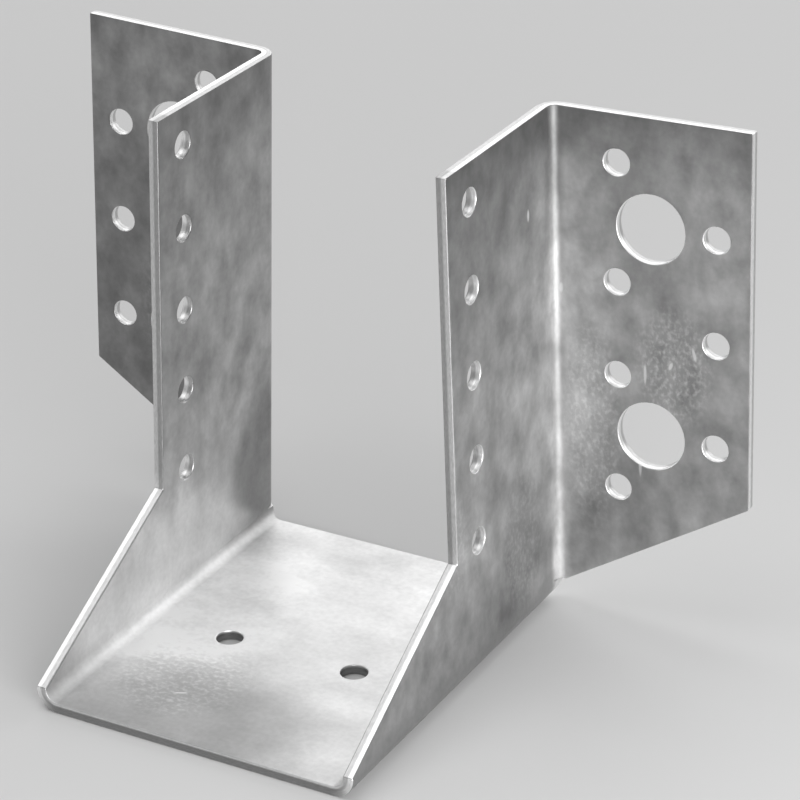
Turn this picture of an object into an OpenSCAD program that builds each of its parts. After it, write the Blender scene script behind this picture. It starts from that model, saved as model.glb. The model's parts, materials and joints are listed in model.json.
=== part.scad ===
// Joist hanger with two outward flanges, folded from one sheet of galvanised steel.
// The joist drops in between the sides and rests on the seat. The flanges lie
// against the header, and nails or bolts through them carry the load.
// Millimetres, +Z up, +Y towards the header, +X to the right as seen from the joist.
// The origin is on the underside of the seat, midway between the sides and midway
// between the front edge of the seat and the header.

/* [Sheet] */

// thickness of the sheet
sheet_t = 2; // [1.5:0.1:2.5]
// inside radius of the fold between the seat and each side
seat_fold_r = 2.2; // [1:0.1:3]
// inside radius of the bend between each side and its flange
flange_bend_r = 1.6; // [0.8:0.1:2.5]
// how far each side closes in past square, in degrees
side_lean = 1.8; // [0:0.1:3]

/* [Joist pocket] */

// clear width between the sides, at the seat
joist_w = 60; // [45:1:100]
// length of the seat, from the header to its front edge
seat_len = 80; // [72:1:100]
// from the header to the back edge of the seat
seat_set_back = 2.8; // [1:0.1:3.4]
// height of the sides, along the sheet from the underside of the seat
side_h = 98; // [94:1:125]
// depth of the sides, from the header to their upright front edges
side_depth = 41; // [36:1:55]
// height at which the front edge of a side turns out towards the seat
knee_h = 26; // [16:0.5:32]
// upright edge at the toe of a side, above the fold
toe_rise = 0.2; // [0.1:0.1:4]

/* [Header flanges] */

// width of a flange, from the outside of its side
flange_w = 38; // [34:0.5:50]
// height of a flange's lower outside corner
flange_corner_h = 26.5; // [18:0.5:32]
// open relief between the seat fold and the lower end of a flange's bend
relief_h = 0.2; // [0.2:0.1:4]

/* [Joist nail holes] */

// bore of every nail hole
nail_d = 5; // [3.5:0.1:6]
// nail holes in a side
side_nails = 5; // [2:1:5]
// distance between them
side_nail_pitch = 16; // [12:0.5:16]
// from the top edge of a side down to its first nail hole
side_nail_top = 7; // [6:0.5:9]
// from the upright front edge of a side back to its nail holes
side_nail_front = 8; // [6:0.5:14]
// distance between the two nail holes in the seat
seat_nail_gap = 26; // [16:1:32]
// from the front edge of the seat back to its nail holes
seat_nail_front = 34; // [12:1:50]

/* [Header holes] */

// from the top edge of a flange down to the middle of its hole pattern
pattern_drop = 40.5; // [38:0.5:42]
// from the outside of the side out to the inner row of nail holes
inner_row_out = 12.5; // [10:0.5:14]
// distance between the middle two nail holes of the inner row
inner_row_near = 18; // [12:0.5:22]
// distance between the first and last nail holes of the inner row
inner_row_far = 63; // [54:0.5:64]
// from the outside of the side out to the outer row of nail holes
outer_row_out = 31.5; // [29:0.5:31.5]
// nail holes in the outer row
outer_row_nails = 3; // [1:1:3]
// distance between them
outer_row_pitch = 20; // [16:0.5:21]
// bore of the bolt holes
bolt_d = 13; // [9:0.5:14]
// from the outside of the side out to the bolt holes
bolt_out = 19; // [18:0.5:20]
// distance between the two bolt holes
bolt_gap = 40; // [32:0.5:42]

/* [Hidden] */

$fn = 96;

// outside radii of the folds and of the bends
fold_out_r = seat_fold_r + sheet_t;
bend_out_r = flange_bend_r + sheet_t;

// planes across the joist: the header, the start of the bends, and the edges
header_y = seat_len / 2;
bend_y = header_y - bend_out_r;
seat_back_y = header_y - seat_set_back;
seat_front_y = header_y - seat_len;
side_front_y = header_y - side_depth;

// the fold's axis stands this far out from the middle
fold_x = joist_w / 2 - seat_fold_r;

// each cutter passes the sheet by this much
over = 1;

// A height above the underside of the seat, as a side's own frame has it. That frame
// starts on the fold's axis, with +X outwards and +Z up the side.
function up(h) = h - fold_out_r;

// Places along a row of holes, spread evenly about its middle.
function row(n, pitch, mid) = [for (i = [0 : n - 1]) mid + (i - (n - 1) / 2) * pitch];

// A bore along X through a side, at depth y and height h.
module side_bore(d, y, h)
    translate([seat_fold_r - over, y, up(h)])
        rotate([0, 90, 0])
            cylinder(d = d, h = sheet_t + 2 * over);

// A bore along Y through a flange, this far out from the side and at height h.
module flange_bore(d, out, h)
    translate([fold_out_r + out, header_y + over, up(h)])
        rotate([90, 0, 0])
            cylinder(d = d, h = sheet_t + 2 * over);

// The flat of a side: upright above the knee, then running out to the toe of the seat.
module side_flat()
    translate([seat_fold_r, 0, 0])
        rotate([90, 0, 90])
            linear_extrude(sheet_t)
                polygon([
                    [seat_front_y, 0],
                    [bend_y, 0],
                    [bend_y, up(side_h)],
                    [side_front_y, up(side_h)],
                    [side_front_y, up(knee_h)],
                    [seat_front_y, toe_rise]
                ]);

// The quarter bend that turns the back edge of a side outwards.
module flange_bend()
    translate([fold_out_r + flange_bend_r, bend_y, relief_h])
        rotate([0, 0, 90])
            rotate_extrude(angle = 90)
                translate([flange_bend_r, 0])
                    square([sheet_t, up(side_h) - relief_h]);

// The flat of a flange, with its lower edge rising to the outside corner.
module flange_flat()
    translate([0, header_y, 0])
        rotate([90, 0, 0])
            linear_extrude(sheet_t)
                polygon([
                    [fold_out_r + flange_bend_r, relief_h],
                    [fold_out_r + flange_w, up(flange_corner_h)],
                    [fold_out_r + flange_w, up(side_h)],
                    [fold_out_r + flange_bend_r, up(side_h)]
                ]);

// The column of nail holes down a side, counted from its top edge.
module side_holes()
    for (i = [0 : side_nails - 1])
        side_bore(
            nail_d,
            side_front_y + side_nail_front,
            side_h - side_nail_top - i * side_nail_pitch
        );

// Two rows of nail holes up a flange, with the bolt holes between them.
module flange_holes() {
    pattern_h = side_h - pattern_drop;
    for (gap = [inner_row_near, inner_row_far])
        for (h = row(2, gap, pattern_h))
            flange_bore(nail_d, inner_row_out, h);
    for (h = row(outer_row_nails, outer_row_pitch, pattern_h))
        flange_bore(nail_d, outer_row_out, h);
    for (h = row(2, bolt_gap, pattern_h))
        flange_bore(bolt_d, bolt_out, h);
}

// A side with its flange, in the side's own frame.
module side()
    difference() {
        union() {
            side_flat();
            flange_bend();
            flange_flat();
        }
        side_holes();
        flange_holes();
    }

// The wall of a fold between two depths, turned this far up from the seat.
module fold_wall(front_y, back_y, turn)
    translate([0, back_y, 0])
        rotate([90, 0, 0])
            rotate([0, 0, -90])
                rotate_extrude(angle = turn)
                    translate([seat_fold_r, 0])
                        square([sheet_t, back_y - front_y]);

// The tail of a fold, behind its side. It is level with the back edge of the seat where
// the fold starts, then runs out on a slant, so only its outside reaches the header.
module fold_tail() {
    slant_x = seat_fold_r / 2;
    slant = seat_set_back / (fold_out_r - slant_x);
    intersection() {
        fold_wall(bend_y, header_y + over, 90);
        translate([0, 0, -fold_out_r - over])
            linear_extrude(fold_out_r + 2 * over)
                polygon([
                    [-over, bend_y - over],
                    [-over, seat_back_y],
                    [slant_x, seat_back_y],
                    [fold_out_r + over, header_y + slant * over],
                    [fold_out_r + over, bend_y - over]
                ]);
    }
}

// The fold from the seat up into a side. It turns past square by the side's lean.
module seat_fold() {
    fold_wall(seat_front_y, bend_y, 90 + side_lean);
    fold_tail();
}

// The seat under the joist, with two nail holes side by side.
module seat()
    difference() {
        translate([-fold_x, seat_front_y, 0])
            cube([2 * fold_x, seat_back_y - seat_front_y, sheet_t]);
        for (x = row(2, seat_nail_gap, 0))
            translate([x, seat_front_y + seat_nail_front, -over])
                cylinder(d = nail_d, h = sheet_t + 2 * over);
    }

// The whole sheet: the seat, and a fold and a leaning side to its right and left.
module hanger()
    color([0.63, 0.65, 0.67])
        union() {
            seat();
            for (hand = [0, 1])
                mirror([hand, 0, 0])
                    translate([fold_x, 0, fold_out_r]) {
                        seat_fold();
                        rotate([0, -side_lean, 0])
                            side();
                    }
        }

hanger();
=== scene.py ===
# %% [markdown]
# # A joist hanger, folded from one galvanised sheet
#
# The real hanger starts as a flat blank, sheared and punched from 2 mm steel with a zinc
# coat. A press brake then turns up its two sides and turns out its two flanges. This
# lesson makes it in the same order: draw the blank, punch it, mark the folds, give it
# thickness, fold it, soften its sheared edges, and then work on the zinc.
#
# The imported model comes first. It is the frame that every size and place is read from.

import json
import math

import bmesh
import bpy
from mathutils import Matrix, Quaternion, Vector


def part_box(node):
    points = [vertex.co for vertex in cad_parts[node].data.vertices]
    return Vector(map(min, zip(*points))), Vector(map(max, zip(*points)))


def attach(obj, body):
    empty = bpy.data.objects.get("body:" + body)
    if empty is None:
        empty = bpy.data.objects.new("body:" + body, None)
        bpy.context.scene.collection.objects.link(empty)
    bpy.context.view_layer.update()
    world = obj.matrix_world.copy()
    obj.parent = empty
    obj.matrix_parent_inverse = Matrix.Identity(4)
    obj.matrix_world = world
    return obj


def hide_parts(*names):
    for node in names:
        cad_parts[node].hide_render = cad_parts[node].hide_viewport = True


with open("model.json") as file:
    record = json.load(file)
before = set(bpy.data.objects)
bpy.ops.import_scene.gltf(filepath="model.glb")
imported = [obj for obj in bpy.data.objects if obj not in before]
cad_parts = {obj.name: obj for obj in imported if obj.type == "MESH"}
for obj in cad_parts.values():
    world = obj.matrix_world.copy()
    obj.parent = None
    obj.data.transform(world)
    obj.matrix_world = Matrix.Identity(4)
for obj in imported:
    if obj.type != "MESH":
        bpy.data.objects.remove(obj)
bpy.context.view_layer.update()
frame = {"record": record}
low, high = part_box("hanger")
print("Box of the hanger in mm:", [round(v * 1000, 2) for v in (*low, *high)])

# %% [markdown]
# ## Sizes of the sheet
#
# A folded part is drawn from a handful of sizes: the sheet's thickness, the inside radius
# of each fold, and how far the folds turn. The two ends of the seat come from the
# frame's box. The rest are the shop's own sizes, and the folded sheet is measured
# against the box further down, so a wrong one can't hide.

# %% Sizes
mm = 0.001

sheet = 2 * mm
seat_fold = 2.2 * mm
flange_bend = 1.6 * mm
lean = math.radians(1.8)
pocket = 60 * mm
side_height = 98 * mm
side_depth = 41 * mm
knee = 26 * mm
toe = 0.2 * mm
relief = 0.2 * mm
set_back = 2.8 * mm
flange_width = 38 * mm
flange_corner = 26.5 * mm

header = high.y
seat_front = low.y
side_front = header - side_depth
seat_back = header - set_back

# Steel stretches outside the fold and shrinks inside it. This share of the thickness, in
# from the inside face, is the layer that keeps its length.
neutral = 0.42


def bend_length(radius, angle):
    """How much flat sheet a fold uses up."""
    return (radius + neutral * sheet) * angle


side_turn = math.pi / 2 + lean
flange_turn = math.pi / 2
fold_from = pocket / 2 - seat_fold
fold_run = bend_length(seat_fold, side_turn)
fold_square = fold_from + bend_length(seat_fold, math.pi / 2)
bend_from = header - flange_bend - sheet
bend_run = bend_length(flange_bend, flange_turn)
print("Flat sheet in each fold, mm:", round(fold_run * 1000, 2), round(bend_run * 1000, 2))

# %% [markdown]
# ## The outline of the blank
#
# The blank lies flat with the seat in the middle. X runs across it, so a height on a side
# becomes a distance from the middle, past the seat and the fold. Y runs towards the
# header, so a flange lies beyond the back edge of its side. One closed loop is enough:
# the right half is written down, and the left half is the same points mirrored.

# %% Draw the outline


def across(height):
    """Where a height on a side lies in the blank, out from the middle."""
    return fold_to + height - (seat_fold + sheet)


fold_to = fold_from + fold_run
bend_to = bend_from + bend_run
flange_edge = bend_to + flange_width - flange_bend
top = across(side_height)

right_half = [
    (fold_to + toe, seat_front),
    (across(knee), side_front),
    (top, side_front),
    (top, flange_edge),
    (across(flange_corner), flange_edge),
    (fold_to + relief, bend_to),
    (fold_to + relief, bend_from),
    (fold_square, bend_from),
    (fold_square, header),
    (fold_from, seat_back),
]
outline = right_half + [(-x, y) for x, y in reversed(right_half)]
print("Blank in mm:", round(2 * top * 1000, 1), "by", round((flange_edge - seat_front) * 1000, 1))

# %% [markdown]
# ## Where the holes go
#
# The frame's record says where each hole is on the folded part. To punch them in the flat
# blank, those places have to be unfolded: the side is turned back down about its
# fold, and the flange is turned back into line with its side. It is the same
# development that a fabricator does on paper.

# %% Unfold the holes


def unfold(x, y, z):
    """A point of the right half, taken from the folded part to the flat blank."""
    if z <= sheet:
        return x, y
    out = x - fold_from
    up = z - (seat_fold + sheet)
    side_x = out * math.cos(lean) + up * math.sin(lean)
    side_z = up * math.cos(lean) - out * math.sin(lean)
    if y < bend_from:
        return fold_to + side_z, y
    return fold_to + side_z, bend_to + side_x - (seat_fold + sheet + flange_bend)


# Two patterns can share a hole, so places are rounded to a micrometre and listed once.
digits = 6
holes = {}
for mount in frame["record"]["mounts"]:
    if mount["kind"] != "bolt_pattern":
        continue
    dims = mount["dims"]
    place = Vector(mount["pos_m"])
    if "spacing_x_mm" in dims:
        found = [place + Vector((dims["spacing_x_mm"] / 2 * mm, 0, 0))]
    elif place.x > 0:
        up_the_side = Vector((-mount["axis"][2], 0, mount["axis"][0]))
        reach = up_the_side * dims["pcd_mm"] / 2 * mm
        found = [place + reach, place - reach]
    else:
        found = []
    for spot in found:
        u, v = unfold(*spot)
        for hand in (1, -1):
            holes[round(hand * u, digits), round(v, digits)] = dims["hole_r_mm"] * mm
print("Holes in the blank:", len(holes))

# %% [markdown]
# ## The drawing as a mesh
#
# A mesh without faces will do for the drawing, and it can carry a number on each point.
# So the outline is a loop of edges, and each hole is one loose point with its radius.

# %% Make the drawing
count = len(outline)
points = [(x, y, 0) for x, y in [*outline, *holes]]
loop = [(i, (i + 1) % count) for i in range(count)]

drawing = bpy.data.meshes.new("hanger_drawing")
drawing.from_pydata(points, loop, [])
bore = drawing.attributes.new("bore", "FLOAT", "POINT")
bore.data.foreach_set("value", [0.0] * count + list(holes.values()))
hanger = bpy.data.objects.new("hanger_sheet", drawing)
bpy.context.scene.collection.objects.link(hanger)
print("Drawing:", len(points), "points,", len(loop), "edges")

# %% [markdown]
# ## A small kit for building node trees
#
# Geometry Nodes and shaders are both trees of nodes joined by links. These helpers keep
# the cells below short: one adds a node and fills in its sockets, one joins geometries,
# one makes a group with named inputs, and one puts a group on an object as a modifier,
# sets those inputs and keeps what comes out. A modifier's input is reached by its socket's
# identifier, since names needn't be unique.

# %% Helpers for node trees


def add(tree, kind, sockets=None, **settings):
    """Adds a node. A socket's value is a link if it comes from another node's output."""
    node = tree.nodes.new(kind)
    for name, value in settings.items():
        setattr(node, name, value)
    for key, value in (sockets or {}).items():
        if isinstance(value, bpy.types.NodeSocket):
            tree.links.new(value, node.inputs[key])
        else:
            node.inputs[key].default_value = value
    return node


def join(tree, *sources):
    """Joins several geometries into one."""
    node = add(tree, "GeometryNodeJoinGeometry")
    for source in sources:
        tree.links.new(source, node.inputs["Geometry"])
    return node.outputs["Geometry"]


def new_group(name, inputs):
    """A geometry group with a Geometry input and output, and the named inputs."""
    group = bpy.data.node_groups.new(name, "GeometryNodeTree")
    group.interface.new_socket("Geometry", in_out="OUTPUT", socket_type="NodeSocketGeometry")
    group.interface.new_socket("Geometry", in_out="INPUT", socket_type="NodeSocketGeometry")
    for label, kind in inputs.items():
        group.interface.new_socket(label, in_out="INPUT", socket_type="NodeSocket" + kind)
    return group, add(group, "NodeGroupInput").outputs


def run_group(piece, group, values):
    """Runs a group on a piece and keeps the result as the piece's plain mesh."""
    modifier = piece.modifiers.new(group.name, "NODES")
    modifier.node_group = group
    for item in group.interface.items_tree:
        if item.in_out == "INPUT" and item.name in values:
            modifier[item.identifier] = values[item.name]
    keep_result(piece)


def keep_result(piece):
    """Replaces a piece's mesh by what its modifiers make of it, and removes them."""
    bpy.context.view_layer.update()
    seen = piece.evaluated_get(bpy.context.evaluated_depsgraph_get())
    made = bpy.data.meshes.new_from_object(seen)
    piece.modifiers.clear()
    piece.data = made
    print(piece.name, "has", len(made.vertices), "points and", len(made.polygons), "faces")


print("Helpers: add, join, new_group, run_group and keep_result")

# %% [markdown]
# ## Punch the blank
#
# Thirty holes on a rule are a job for instances. The tree parts the drawing by its
# radius attribute: points without a radius are the outline, and every other point gets
# a circle scaled to its radius. Fill Curve then makes one flat sheet with the
# holes left open, with no boolean to go wrong.

# %% The punching tree
punch, given = new_group("punch_blank", {"Rim Points": "Int", "Zinc": "Material"})
radius = add(punch, "GeometryNodeInputNamedAttribute", {"Name": "bore"}, data_type="FLOAT")
is_hole = add(punch, "FunctionNodeCompare", {"A": radius.outputs["Attribute"]}, operation="GREATER_THAN")
parted = add(
    punch,
    "GeometryNodeSeparateGeometry",
    {"Geometry": given["Geometry"], "Selection": is_hole.outputs["Result"]},
)
circle = add(punch, "GeometryNodeCurvePrimitiveCircle", {"Resolution": given["Rim Points"], "Radius": 1.0})
punched = add(
    punch,
    "GeometryNodeInstanceOnPoints",
    {
        "Points": parted.outputs["Selection"],
        "Instance": circle.outputs["Curve"],
        "Scale": radius.outputs["Attribute"],
    },
)
rims = add(punch, "GeometryNodeRealizeInstances", {"Geometry": punched.outputs["Instances"]})
edge = add(punch, "GeometryNodeMeshToCurve", {"Mesh": parted.outputs["Inverted"]})
lines = join(punch, edge.outputs["Curve"], rims.outputs["Geometry"])
filled = add(punch, "GeometryNodeFillCurve", {"Curve": lines}, mode="NGONS")
real = add(punch, "GeometryNodeRealizeInstances", {"Geometry": filled.outputs["Mesh"]})
coated = add(
    punch,
    "GeometryNodeSetMaterial",
    {"Geometry": real.outputs["Geometry"], "Material": given["Zinc"]},
)
add(punch, "NodeGroupOutput", {"Geometry": coated.outputs["Geometry"]})

zinc = bpy.data.materials.new("galvanised_zinc")
cut_steel = bpy.data.materials.new("sheared_edge")
rim_points = 64
run_group(hanger, punch, {"Rim Points": rim_points, "Zinc": zinc})

# %% [markdown]
# ## Mark the folds
#
# A sheet can only curve where it has edges to curve along. Each fold's strip is cut into
# narrow bands with bisecting planes. The planes of the seat folds miss the flanges, and
# those of the flange bends miss the seat, so no flat gets an edge it doesn't need.

# %% Cut bands across the fold strips
bands = 14
speck = 1e-7

work = bmesh.new()
work.from_mesh(hanger.data)


def cut_across(place, facing, beyond):
    """Cuts the sheet along a plane, where it lies further out than the given distance."""
    parts = [v for v in work.verts if abs(v.co.x) > beyond]
    parts += [e for e in work.edges if all(abs(v.co.x) > beyond for v in e.verts)]
    parts += [f for f in work.faces if abs(f.calc_center_median().x) > beyond]
    bmesh.ops.bisect_plane(work, geom=parts, dist=speck, plane_co=place, plane_no=facing)


for hand in (1, -1):
    for out in [fold_square, *(fold_from + fold_run * i / bands for i in range(bands + 1))]:
        cut_across((hand * out, 0, 0), (1, 0, 0), 0)
for i in range(bands + 1):
    cut_across((0, bend_from + bend_run * i / bands, 0), (0, 1, 0), fold_to - speck)
bmesh.ops.remove_doubles(work, verts=work.verts, dist=speck)

# A bridge edge that the fill left slanting over a strip would only add slivers.
straight = 1e-6


def slants(line):
    """True for an inner edge of a fold strip that doesn't run along its bands."""
    a, b = (v.co for v in line.verts)
    middle = (a + b) / 2
    if line.is_boundary:
        return False
    if fold_from < abs(middle.x) < fold_to:
        return abs(a.x - b.x) > straight
    return bend_from < middle.y < bend_to and abs(a.y - b.y) > straight


strays = [line for line in work.edges if slants(line)]
bmesh.ops.dissolve_edges(work, edges=strays, use_verts=True)
work.to_mesh(hanger.data)
print("Bands in each fold:", bands, "and faces in the sheet:", len(work.faces))
work.free()

# %% [markdown]
# ## One fold, as a rule
#
# A press brake does the same thing each time. The sheet before the fold line stays. Over
# the strip it wraps round an axis, each layer at its own radius, and past the strip it
# carries on straight along the new direction. Written with sines and cosines, that rule
# moves every point of a thick sheet at once, so both faces come out exact.
#
# The group folds along Y, or along X on both hands at once, and up or down.

# %% The fold group


def calc(tree, operation, a, b=0.0):
    """One sum on two numbers, as a Math node's output."""
    return add(tree, "ShaderNodeMath", {0: a, 1: b}, operation=operation).outputs[0]


fold, given = new_group(
    "fold_sheet",
    {
        "Start": "Float",
        "Inside Radius": "Float",
        "Turn": "Float",
        "Upwards": "Float",
        "Both Hands": "Bool",
        "Only Past": "Float",
        "Thickness": "Float",
        "Neutral Layer": "Float",
    },
)
turn, up, thick = given["Turn"], given["Upwards"], given["Thickness"]
place = add(fold, "ShaderNodeSeparateXYZ", {0: add(fold, "GeometryNodeInputPosition").outputs[0]})
x, y, z = place.outputs
out = calc(fold, "ABSOLUTE", x)
hand = calc(fold, "SIGN", x)
sides = {"Switch": given["Both Hands"], "False": y, "True": out}
along = add(fold, "GeometryNodeSwitch", sides, input_type="FLOAT").outputs["Output"]

layer = calc(fold, "MULTIPLY", given["Neutral Layer"], thick)
run = calc(fold, "MULTIPLY", calc(fold, "ADD", given["Inside Radius"], layer), turn)
past = calc(fold, "SUBTRACT", along, given["Start"])
share = add(fold, "ShaderNodeClamp", {"Value": calc(fold, "DIVIDE", past, run)}).outputs[0]
angle = calc(fold, "MULTIPLY", turn, share)
rest = calc(fold, "MAXIMUM", calc(fold, "SUBTRACT", past, run), 0.0)

raised = calc(fold, "MULTIPLY", calc(fold, "MAXIMUM", up, 0.0), thick)
centre = calc(fold, "ADD", calc(fold, "MULTIPLY", up, given["Inside Radius"]), raised)
reach = calc(fold, "MULTIPLY", up, calc(fold, "SUBTRACT", centre, z))

sideways = calc(fold, "MULTIPLY", reach, calc(fold, "SINE", angle))
sideways = calc(fold, "ADD", sideways, calc(fold, "MULTIPLY", rest, calc(fold, "COSINE", turn)))
sideways = calc(fold, "ADD", sideways, calc(fold, "MINIMUM", along, given["Start"]))
level = calc(fold, "MULTIPLY", reach, calc(fold, "COSINE", angle))
level = calc(fold, "SUBTRACT", level, calc(fold, "MULTIPLY", rest, calc(fold, "SINE", turn)))
level = calc(fold, "SUBTRACT", centre, calc(fold, "MULTIPLY", up, level))

one_way = add(fold, "ShaderNodeCombineXYZ", {0: x, 1: sideways, 2: level})
both_ways = add(fold, "ShaderNodeCombineXYZ", {0: calc(fold, "MULTIPLY", sideways, hand), 1: y, 2: level})
spot = add(
    fold,
    "GeometryNodeSwitch",
    {"Switch": given["Both Hands"], "False": one_way.outputs[0], "True": both_ways.outputs[0]},
    input_type="VECTOR",
)
past_it = add(fold, "FunctionNodeCompare", {"A": out, "B": given["Only Past"]}, operation="GREATER_THAN")
moved = add(
    fold,
    "GeometryNodeSetPosition",
    {
        "Geometry": given["Geometry"],
        "Selection": past_it.outputs["Result"],
        "Position": spot.outputs["Output"],
    },
)
add(fold, "NodeGroupOutput", {"Geometry": moved.outputs["Geometry"]})
print("The fold rule takes", len(fold.nodes), "nodes")

# %% [markdown]
# ## Thickness, then the press brake
#
# The sheet is thickened while it is still flat: its face is raised, walls
# follow its outline and its holes, and a flipped copy closes the underside. Two
# notes are stored on the way for the finish to read. "blank" is where a point lay in the
# flat sheet, since rolling marks follow the sheet round its folds, and "layer" is
# how deep it lies in the thickness, for the two zones of a sheared edge.
#
# The flanges are folded first, while their sides still lie flat, and away from
# the face that the joist will touch. The sides come up second and take the flanges along.

# %% The folding tree
press, given = new_group(
    "fold_hanger",
    {
        "Thickness": "Float",
        "Neutral Layer": "Float",
        "Flange Start": "Float",
        "Flange Radius": "Float",
        "Flange Turn": "Float",
        "Flange Clear": "Float",
        "Side Start": "Float",
        "Side Radius": "Float",
        "Side Turn": "Float",
        "Side Clear": "Float",
        "Zinc": "Material",
        "Cut Steel": "Material",
    },
)
position = add(press, "GeometryNodeInputPosition").outputs[0]
noted = add(
    press,
    "GeometryNodeStoreNamedAttribute",
    {"Geometry": given["Geometry"], "Name": "blank", "Value": position},
    data_type="FLOAT_VECTOR",
    domain="POINT",
)
raised = add(
    press,
    "GeometryNodeExtrudeMesh",
    {"Mesh": noted.outputs["Geometry"], "Offset Scale": given["Thickness"], "Individual": False},
    mode="FACES",
)
under = add(press, "GeometryNodeFlipFaces", {"Mesh": noted.outputs["Geometry"]})
shell = join(press, raised.outputs["Mesh"], under.outputs["Mesh"])
closed = add(press, "GeometryNodeMergeByDistance", {"Geometry": shell, "Distance": speck})
height = add(press, "ShaderNodeSeparateXYZ", {0: position}).outputs["Z"]
depth = add(
    press,
    "GeometryNodeStoreNamedAttribute",
    {
        "Geometry": closed.outputs["Geometry"],
        "Name": "layer",
        "Value": calc(press, "DIVIDE", height, given["Thickness"]),
    },
    data_type="FLOAT",
    domain="POINT",
)

bent = depth
for name, upwards, both in (("Flange", -1.0, False), ("Side", 1.0, True)):
    brake = add(press, "GeometryNodeGroup", node_tree=fold)
    for socket, value in {
        "Start": given[name + " Start"],
        "Inside Radius": given[name + " Radius"],
        "Turn": given[name + " Turn"],
        "Only Past": given[name + " Clear"],
        "Thickness": given["Thickness"],
        "Neutral Layer": given["Neutral Layer"],
    }.items():
        press.links.new(value, brake.inputs[socket])
    brake.inputs["Upwards"].default_value = upwards
    brake.inputs["Both Hands"].default_value = both
    press.links.new(bent.outputs["Geometry"], brake.inputs["Geometry"])
    bent = brake

real = add(press, "GeometryNodeRealizeInstances", {"Geometry": bent.outputs["Geometry"]})
faces = add(
    press,
    "GeometryNodeSetMaterial",
    {"Geometry": real.outputs["Geometry"], "Material": given["Zinc"]},
)
walls = add(
    press,
    "GeometryNodeSetMaterial",
    {
        "Geometry": faces.outputs["Geometry"],
        "Selection": raised.outputs["Side"],
        "Material": given["Cut Steel"],
    },
)
add(press, "NodeGroupOutput", {"Geometry": walls.outputs["Geometry"]})

run_group(
    hanger,
    press,
    {
        "Thickness": sheet,
        "Neutral Layer": neutral,
        "Flange Start": bend_from,
        "Flange Radius": flange_bend,
        "Flange Turn": flange_turn,
        "Flange Clear": fold_to + relief / 2,
        "Side Start": fold_from,
        "Side Radius": seat_fold,
        "Side Turn": side_turn,
        "Side Clear": fold_from,
        "Zinc": zinc,
        "Cut Steel": cut_steel,
    },
)

# %% [markdown]
# ## The tails of the folds
#
# Behind its side, each fold runs on as a short tail. It starts level with the seat's back
# edge and runs out on a slant, so that only its outside reaches the header. A boolean
# would cut it too, but moving the points of its end is enough and leaves the mesh clean.

# %% Trim the tails
slant_from = fold_from + seat_fold / 2
slant = set_back / (fold_from + seat_fold + sheet - slant_from)
flat_places = hanger.data.attributes["blank"].data
for point in hanger.data.vertices:
    flat = flat_places[point.index].vector
    if flat.y > seat_back - speck and abs(flat.x) < fold_to - speck:
        point.co.y = seat_back + max(0, abs(point.co.x) - slant_from) * slant
print("Each tail runs out to the header at", round(math.degrees(math.atan(slant)), 1), "degrees")

# %% [markdown]
# ## Does it match the frame?
#
# A fold that is off by a little moves everything beyond it. So the box of the folded
# sheet is compared with the frame's before any finish goes on.

# %% Measure the folded sheet
folded = [Vector(corner) for corner in hanger.bound_box]
worst = max(
    max(abs(min(c[i] for c in folded) - low[i]), abs(max(c[i] for c in folded) - high[i])) for i in range(3)
)
print("The folded sheet's box is within", round(worst * 1000, 3), "mm of the frame's")

# %% [markdown]
# ## Soften the edges
#
# No sheared edge is perfectly sharp, and the thin line of light that it catches is what
# makes sheet metal look like metal. A Bevel rounds every edge sharper than 40 degrees,
# so it takes the outline and the hole rims and leaves the bands of the folds alone. A
# Weighted Normal after it lets the big flats set the shading, so they stay flat.

# %% Round the sheared edges
edge_round = 0.22 * mm
sharp = math.radians(40)
bevel = hanger.modifiers.new("edge_round", "BEVEL")
bevel.width = edge_round
bevel.segments = 3
bevel.limit_method = "ANGLE"
bevel.angle_limit = sharp
bevel.use_clamp_overlap = False
shade = hanger.modifiers.new("flat_shading", "WEIGHTED_NORMAL")
shade.mode = "FACE_AREA"
shade.weight = 50
hanger.data.shade_smooth()
keep_result(hanger)

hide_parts("hanger")
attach(hanger, "root")

# %% [markdown]
# ## How the coat is painted
#
# Hot-dip zinc is bare metal. It has hardly any colour of its own and shows the room
# around it, blurred by its fine grain, so each material here is a metallic shader.
#
# A sheet also looks lighter and darker in broad areas, because it mirrors different parts
# of the room. Three lamps can't copy that room, so the broad levels below stand in for it.
# They were fitted to one view and to this light. They are no property of zinc, and under
# other light they stay where they are.
#
# Everything is placed on the "blank" attribute: the distances across and along the flat
# sheet. A streak laid down there follows the sheet round its folds, as a real one does.

# %% Helpers for the coat


def levels(tree, value, stops):
    """A grey level that runs straight from stop to stop, as its value goes from 0 to 1."""
    node = add(tree, "ShaderNodeValToRGB", {"Fac": value})
    ramp = node.color_ramp
    while len(ramp.elements) < len(stops):
        ramp.elements.new(0.5)
    for element, (place, level) in zip(ramp.elements, sorted(stops.items())):
        element.position = place
        element.color = (level, level, level, 1)
    return node.outputs["Color"]


def fade(tree, value, start, end):
    """A soft step: 0 up to the start, 1 from the end on."""
    sockets = {"Value": value, "From Min": start, "From Max": end}
    return add(tree, "ShaderNodeMapRange", sockets, interpolation_type="SMOOTHSTEP").outputs[0]


def blend(tree, share, first, second):
    """Goes from the first level to the second as the share goes from 0 to 1."""
    return add(tree, "ShaderNodeMix", {0: share, 2: first, 3: second}).outputs[0]


# Nearly all of a noise's values lie between these two.
noise_low, noise_high = 0.3, 0.7


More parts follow.
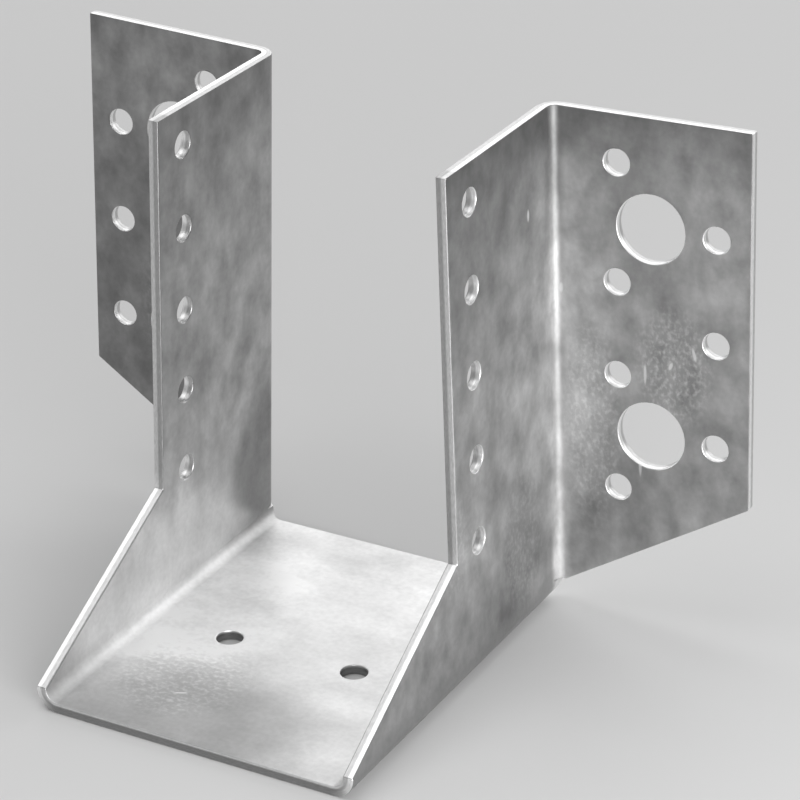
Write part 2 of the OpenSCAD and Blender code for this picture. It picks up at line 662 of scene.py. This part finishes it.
def cloud(tree, place, stretch, scale, low, high, detail=3.0):
    """Soft noise between two levels, with its grain stretched along the axes."""
    drawn = add(tree, "ShaderNodeVectorMath", {0: place, 1: stretch}, operation="MULTIPLY")
    sockets = {"Vector": drawn.outputs[0], "Scale": scale, "Detail": detail}
    noise = add(tree, "ShaderNodeTexNoise", sockets).outputs[0]
    sockets = {"Value": noise, "From Min": noise_low, "From Max": noise_high}
    sockets.update({"To Min": low, "To Max": high})
    return add(tree, "ShaderNodeMapRange", sockets).outputs[0]


def product(tree, *factors):
    """All the factors multiplied together."""
    total = factors[0]
    for factor in factors[1:]:
        total = calc(tree, "MULTIPLY", total, factor)
    return total


# The two faces of the sheet take their noise this far apart, so their marks differ.
face_gap = 50 * mm


def sheet_places(material):
    """A material's tree and shader, a point's place in the flat sheet, and its noise's."""
    material.use_nodes = True
    tree = material.node_tree
    blank = add(tree, "ShaderNodeAttribute", attribute_name="blank").outputs["Vector"]
    layer = add(tree, "ShaderNodeAttribute", attribute_name="layer").outputs["Fac"]
    u, v, _ = add(tree, "ShaderNodeSeparateXYZ", {0: blank}).outputs
    shift = add(tree, "ShaderNodeCombineXYZ", {2: calc(tree, "MULTIPLY", layer, face_gap)}).outputs[0]
    grain = add(tree, "ShaderNodeVectorMath", {0: blank, 1: shift}, operation="ADD").outputs[0]
    return tree, tree.nodes["Principled BSDF"], u, v, layer, grain


print("Helpers: levels, fade, blend, cloud, product and sheet_places")

# %% [markdown]
# ## The grey of the zinc, with painted light and shade
#
# The levels are given over the share of the way from the middle of the seat (0) to the
# top edge (1). Over the zinc's own grey they carry painted light and painted reflection:
# the inside faces are brightest at the seat and the outside faces halfway up, and both
# grow darker towards the top. The bend is brightest in its lower part, a painted
# highlight, with a paler strip of painted light beside it on the right flange. Most of the
# left flange is painted darker, about half as bright as the right one, a painted shade
# which a real sheet wouldn't have: it shows most from the front. For an even part, set
# the left flange's shade levels to 1 throughout and give each other list one level.

# %% Levels of the zinc
tree, shader, u, v, layer, grain = sheet_places(zinc)
out = calc(tree, "ABSOLUTE", u)
share = calc(tree, "DIVIDE", out, top)
on_left = calc(tree, "LESS_THAN", u, 0.0)
inside = fade(tree, layer, 0.4, 0.6)
past_fold = fade(tree, out, fold_to, fold_to + 3 * mm)

# Painted light and painted reflection over the zinc's grey: bright low on the sheet, darker towards the top
# edge.
inner_stops = {
    0.2: 0.82, 0.222: 0.8, 0.24: 0.75, 0.258: 0.65, 0.3: 0.61, 0.38: 0.63, 0.45: 0.52,
    0.62: 0.39, 0.88: 0.335, 0.98: 0.25,
}
outer_stops = {0.2: 0.32, 0.27: 0.4, 0.4: 0.54, 0.58: 0.55, 0.75: 0.42, 0.9: 0.33, 1.0: 0.2}
flange_stops = {0.28: 0.53, 0.42: 0.46, 0.55: 0.44, 0.8: 0.375, 0.93: 0.36, 1.0: 0.27}
# Painted shade on most of the left flange, where the left side keeps the light off it.
left_shade_stops = {0.5: 0.52, 0.75: 0.65, 1.0: 1.05}
# Painted highlight inside the bend, brightest in its lower part.
bend_highlight_stops = {0.28: 0.8, 0.5: 0.58, 0.65: 0.58, 0.8: 0.58, 0.9: 0.34, 1.0: 0.24}

inner = levels(tree, share, inner_stops)
outer = levels(tree, share, outer_stops)
flange = levels(tree, share, flange_stops)
# Painted shade: the left flange is darkened.
shaded_left_flange = calc(tree, "MULTIPLY", flange, levels(tree, share, left_shade_stops))

# Painted light: a paler strip on the right flange beside the bend, where light passes between side and
# flange.
painted_light_width = 15 * mm
painted_light_level = 0.66
painted_light_beside_bend = product(
    tree,
    fade(tree, v, bend_to + painted_light_width, bend_to),
    levels(tree, share, {0.26: 1.0, 0.42: 0.9, 0.58: 1.0, 0.78: 1.0, 0.95: 0.0}),
    calc(tree, "SUBTRACT", 1.0, on_left),
)
flange = blend(tree, painted_light_beside_bend, flange, painted_light_level)
flange = blend(tree, on_left, flange, shaded_left_flange)
outer = blend(tree, fade(tree, v, bend_to - mm, bend_to + mm), outer, flange)

from_bend = calc(tree, "ABSOLUTE", calc(tree, "SUBTRACT", v, (bend_from + bend_to) / 2))
in_bend = fade(tree, from_bend, bend_run * 0.9, bend_run * 0.3)
# Painted highlight: the bend takes brighter levels, standing in for the band of light along it.
outer = blend(tree, in_bend, outer, levels(tree, share, bend_highlight_stops))
level = blend(tree, inside, outer, inner)
print("Levels of the zinc:", len(tree.nodes), "nodes so far")

# %% [markdown]
# ## Mottle, streaks and scuffs
#
# Zinc cools in soft grey clouds, and faint streaks run down the sides and flanges, which
# is across the blank. On the seat both are fainter still. A few bright scuffs and six
# fields of flecks are placed one by one, because an even scatter looks like a pattern. The
# darker and lighter patches are painted shade and painted light, broad levels of the same
# kind as those in the step before, and an even part would leave them out.

# %% Clouds in the zinc
clouds = cloud(tree, grain, (0.7, 1, 1), 75.0, 0.9, 1.1)
mottle = cloud(tree, grain, (0.8, 1, 1), 190.0, 0.75, 1.25, 6.0)
fine = cloud(tree, grain, (1, 1, 1), 900.0, 0.95, 1.05)
streaks = cloud(tree, grain, (0.25, 1, 1), 350.0, 0.96, 1.04)
seat_contrast = 0.25
contrast = blend(tree, inside, past_fold, fade(tree, share, 0.27, 0.5))
contrast = blend(tree, contrast, seat_contrast, 1.0)
grey = calc(tree, "POWER", product(tree, mottle, streaks), contrast)
print("With its clouds:", len(tree.nodes), "nodes")

# %% Marks on the zinc


def patch(u_mm, v_mm, half_u, half_v, core=0.1, turn=0):
    """A soft patch on the sheet: 1 in its middle and 0 past its two half widths (mm)."""
    du = calc(tree, "SUBTRACT", u, u_mm * mm)
    dv = calc(tree, "SUBTRACT", v, v_mm * mm)
    along, across = math.cos(math.radians(turn)), math.sin(math.radians(turn))
    reach = 0.0
    for a, b, half in ((along, across, half_u), (-across, along, half_v)):
        part = calc(tree, "ADD", calc(tree, "MULTIPLY", du, a), calc(tree, "MULTIPLY", dv, b))
        part = calc(tree, "POWER", calc(tree, "DIVIDE", part, half * mm), 2.0)
        reach = calc(tree, "ADD", reach, part)
    return fade(tree, reach, 1.0, core)


outside = calc(tree, "SUBTRACT", 1.0, inside)


def patches(operation, rows):
    """Several patches as one level. A row is a strength, a face, and what patch() takes."""
    total = 0.0
    for strength, face, *shape in rows:
        spot = product(tree, patch(*shape), face, strength)
        total = calc(tree, operation, total, spot)
    return total


# Painted shade: the seat's front, the left side's lower back corner and the right side's foot are darker.
# Painted light: the seat is lighter beside its left fold, and the right flange at its top outside corner.
painted_shade_rows = [
    (0.38, inside, -6, -38, 32, 28),
    (0.45, inside, -fold_to / mm - 13, bend_from / mm, 19, 16, 0.3),
    (0.3, outside, 41, 19, 11, 13),
]
painted_light_rows = [
    (0.17, inside, -fold_from / mm + 7, 2, 20, 32, 0.2),
    (0.15, outside, 104, bend_to / mm + 32, 20, 14),
]
fleck_rows = [
    (0.7, inside, -13, -22, 16, 16),
    (1.0, outside, 80, 62, 14, 9),
    (0.8, outside, 66, 46, 26, 7),
    (0.5, outside, 48, 24, 18, 10),
    (0.5, outside, 58, -2, 12, 8),
    (0.5, outside, -70, 56, 20, 12),
]
scuff_rows = [
    (1.0, inside, -10.5, -26.5, 1.5, 0.3, 0.2, 25),
    (1.0, outside, 92, 40, 1.2, 0.6, 0.2),
    (1.0, outside, 109, 28.5, 1.4, 0.5, 0.2),
    (1.0, outside, 60, 55.5, 3.0, 0.4, 0.2),
    (1.0, outside, 78, 56.5, 2.4, 0.35, 0.2),
    (1.0, outside, 80.5, 61.5, 1.0, 0.4, 0.2, 20),
    (1.0, outside, 83.5, 66, 1.6, 0.4, 0.2, -15),
]
# Painted shade patches.
painted_shade = patches("ADD", painted_shade_rows)
rubbed = patches("MAXIMUM", fleck_rows)
flecks = calc(tree, "MAXIMUM", cloud(tree, grain, (0.8, 1, 1), 1200.0, -0.6, 0.9, 3.0), 0.0)
flecks = calc(tree, "MULTIPLY", flecks, rubbed)
scuffed = patches("MAXIMUM", scuff_rows)
# Painted light patches.
light = patches("ADD", painted_light_rows)
print("Marks:", len(fleck_rows), "fields of flecks and", len(scuff_rows), "scuffs")

# %% [markdown]
# ## The finished coat
#
# The levels, clouds and patches are multiplied, the flecks are added, and the scuffs are
# laid on top. The coat is rougher on the seat and in the bend, so its reflections are
# softer there, and a shallow bump follows the mottle.

# %% Put the coat together
fleck_gain = 0.26
scuff_cover, scuff_level = 0.75, 0.95
level = product(tree, level, clouds, grey, fine, calc(tree, "SUBTRACT", 1.0, painted_shade))
level = product(tree, level, calc(tree, "ADD", 1.0, light))
level = calc(tree, "ADD", level, calc(tree, "MULTIPLY", flecks, fleck_gain))
level = blend(tree, calc(tree, "MULTIPLY", scuffed, scuff_cover), level, scuff_level)
tree.links.new(level, shader.inputs["Base Color"])

shader.inputs["Metallic"].default_value = 1.0
rougher_bend, rougher_seat = 0.13, 0.2
rough = cloud(tree, grain, (0.7, 1, 1), 300.0, 0.31, 0.39)
rough = calc(tree, "ADD", rough, product(tree, in_bend, outside, rougher_bend))
on_seat = calc(tree, "MULTIPLY", inside, calc(tree, "SUBTRACT", 1.0, past_fold))
rough = calc(tree, "ADD", rough, calc(tree, "MULTIPLY", on_seat, rougher_seat))
tree.links.new(rough, shader.inputs["Roughness"])
bump = {"Strength": 0.2, "Distance": 0.03 * mm, "Height": calc(tree, "ADD", mottle, fine)}
tree.links.new(add(tree, "ShaderNodeBump", bump).outputs[0], shader.inputs["Normal"])
print("The zinc takes", len(tree.nodes), "nodes")

# %% [markdown]
# ## The sheared edges
#
# A shear cuts part of the way and then the steel tears. So each edge has two zones: a
# bright one where the blade slid, and a dull one where the sheet broke. The "layer"
# attribute tells how deep a point lies. Here the seat is taken as cut from above, and the
# sides from the other face. The upright front edges are painted darker, a painted shade,
# which is a broad level of the same kind as the coat's.

# %% Levels of the sheared edges
tree, shader, u, v, layer, grain = sheet_places(cut_steel)
out = calc(tree, "ABSOLUTE", u)
seat_zones = levels(tree, layer, {0.0: 0.55, 0.12: 0.3, 0.7: 0.26, 0.84: 0.7, 1.0: 0.8})
side_zones = levels(tree, layer, {0.0: 0.95, 0.42: 0.9, 0.56: 0.55, 1.0: 0.6})
upright = product(
    tree,
    fade(tree, out, fold_to + knee - 6 * mm, fold_to + knee),
    fade(tree, v, side_front + 4 * mm, side_front + 3 * mm),
)
# Painted shade: the upright front edges are darkened.
upright_painted_shade = 0.7
side_zones = calc(tree, "MULTIPLY", side_zones, blend(tree, upright, 1.0, upright_painted_shade))
zones = blend(tree, fade(tree, out, fold_from, fold_to), seat_zones, side_zones)
torn = cloud(tree, grain, (1, 1, 0.3), 900.0, 0.85, 1.15)
tree.links.new(product(tree, zones, torn), shader.inputs["Base Color"])
shader.inputs["Metallic"].default_value = 1.0
shader.inputs["Roughness"].default_value = 0.4
print("The sheared edge takes", len(tree.nodes), "nodes")

# %% [markdown]
# ## The floor
#
# The part stands on plain pale paper that runs far past the picture's edge, so the
# camera sees no horizon. It has no gloss: the only reflections wanted are the metal's.

# %% Floor
far = 6.0
paper_grey = 0.69
floor_mesh = bpy.data.meshes.new("floor")
corners = [(-far, -far, 0), (far, -far, 0), (far, far, 0), (-far, far, 0)]
floor_mesh.from_pydata(corners, [], [(0, 1, 2, 3)])
floor = bpy.data.objects.new("floor", floor_mesh)
bpy.context.scene.collection.objects.link(floor)

paper = bpy.data.materials.new("pale_paper")
paper.use_nodes = True
shader = paper.node_tree.nodes["Principled BSDF"]
shader.inputs["Base Color"].default_value = (paper_grey, paper_grey, paper_grey, 1)
shader.inputs["Roughness"].default_value = 0.9
shader.inputs["Specular IOR Level"].default_value = 0.0
floor_mesh.materials.append(paper)
print("Floor:", 2 * far, "m across")

# %% [markdown]
# ## Studio light
#
# Metal is lit by what it mirrors. A big softbox behind the part lies where the seat and
# the top edges look, and helps to make them the brightest. The one above fills the room
# softly and keeps the part's shadow faint. A small card to the right and low stands where
# the right bend looks, and draws the band of light up it. It is five times as bright as
# the others, but small. The sides and flanges see the pale floor.

# %% Lights


def softbox(name, place, target, width, height, brightness):
    """A large flat lamp that faces a point. At brightness 1 its face looks white."""
    lamp = bpy.data.lights.new(name, "AREA")
    lamp.shape = "RECTANGLE"
    lamp.size = width
    lamp.size_y = height
    lamp.energy = brightness * math.pi * width * height
    box = bpy.data.objects.new(name, lamp)
    box.location = place
    box.rotation_euler = (Vector(target) - Vector(place)).to_track_quat("-Z", "Y").to_euler()
    box.visible_camera = False
    bpy.context.scene.collection.objects.link(box)
    print(name, "gives", round(lamp.energy, 1), "W")


middle = (0, 0, 0.03)
softbox("back_softbox", (0, 1.5, 0.75), middle, 3.2, 1.1, 1.38)
softbox("top_softbox", (-0.3, -0.05, 1.4), middle, 1.2, 1.2, 1.5)
softbox("side_card", (0.38, -0.32, 0.13), middle, 0.4, 0.24, 7.5)

room_grey = 0.35
world = bpy.data.worlds.new("studio")
bpy.context.scene.world = world
world.use_nodes = True
background = world.node_tree.nodes["Background"]
background.inputs["Color"].default_value = (room_grey, room_grey, room_grey, 1)

# %% [markdown]
# ## The camera
#
# A long lens from the front right and above, close to how such a part is
# shown in a catalogue: both sides, both flanges and the seat are in view. The
# camera is turned a touch about its own axis, as a hand-held one is.

# %% Camera
place = Vector((0.2556, -0.4270, 0.2950))
target = Vector((0.0148, 0.0086, 0.0502))
tilt = math.radians(-0.51)

lens = bpy.data.cameras.new("camera")
lens.lens = 142.4
camera = bpy.data.objects.new("camera", lens)
camera.location = place
camera.rotation_mode = "QUATERNION"
aim = (target - place).to_track_quat("-Z", "Y")
camera.rotation_quaternion = aim @ Quaternion((0, 0, 1), tilt)
bpy.context.scene.collection.objects.link(camera)
bpy.context.scene.camera = camera
bpy.context.scene.view_settings.view_transform = "Standard"
print("Camera", round((target - place).length, 3), "m from the part")
